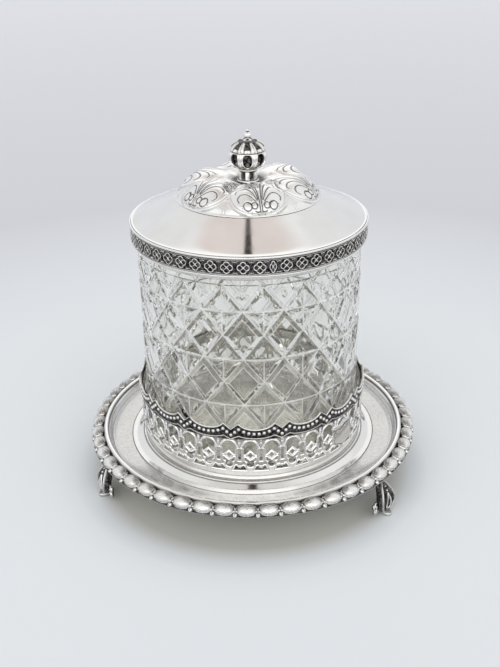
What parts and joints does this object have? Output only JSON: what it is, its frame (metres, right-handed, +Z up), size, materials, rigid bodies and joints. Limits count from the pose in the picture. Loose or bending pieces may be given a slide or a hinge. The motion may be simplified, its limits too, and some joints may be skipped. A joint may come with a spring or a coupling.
{
  "type": "biscuit jar",
  "caption": "Cut-glass biscuit jar in a pierced gallery stand on cast feet, with a lift-off plated lid, lobed dome and caged finial.",
  "frame": {"origin": "on the jar's axis, on the table under the three feet", "axes": "+Z up along the jar's axis, -Y towards the front of the picture, +X to its right"},
  "size_m": [0.225, 0.225, 0.2374],
  "materials": {
    "silver_plate": "polished silver plate",
    "oxidised_silver": "darkened silver plate, bright on its raised edges",
    "cut_glass": "clear, mitre cut and polished"
  },
  "bodies": {
    "stand": {"tray_dish": "silver_plate", "tray_border": "silver_plate", "gallery_wall": "silver_plate", "gallery_crest": "oxidised_silver", "gallery_cartouche": "silver_plate", "foot_left": "silver_plate", "foot_right": "silver_plate", "foot_back": "silver_plate"},
    "jar": {"glass_jar": "cut_glass"},
    "lid": {"lid_shell": "silver_plate", "lid_rim_wire": "silver_plate", "lid_band": "oxidised_silver", "lid_base_wire": "silver_plate", "lid_bezel": "silver_plate", "lid_dome": "silver_plate", "finial_base": "silver_plate", "finial_cage": "silver_plate", "finial_core": "oxidised_silver", "finial_roof": "silver_plate", "finial_ball": "silver_plate", "finial_stud": "silver_plate", "finial_washer": "silver_plate", "finial_nut": "silver_plate"}
  },
  "joints": [
    {"name": "jar_lift", "type": "slide", "parent": "stand", "child": "jar", "axis": [0, 0, 1], "range_m": [0, 0.08]},
    {"name": "lid_lift", "type": "slide", "parent": "jar", "child": "lid", "axis": [0, 0, 1], "range_m": [0, 0.06]}
  ]
}
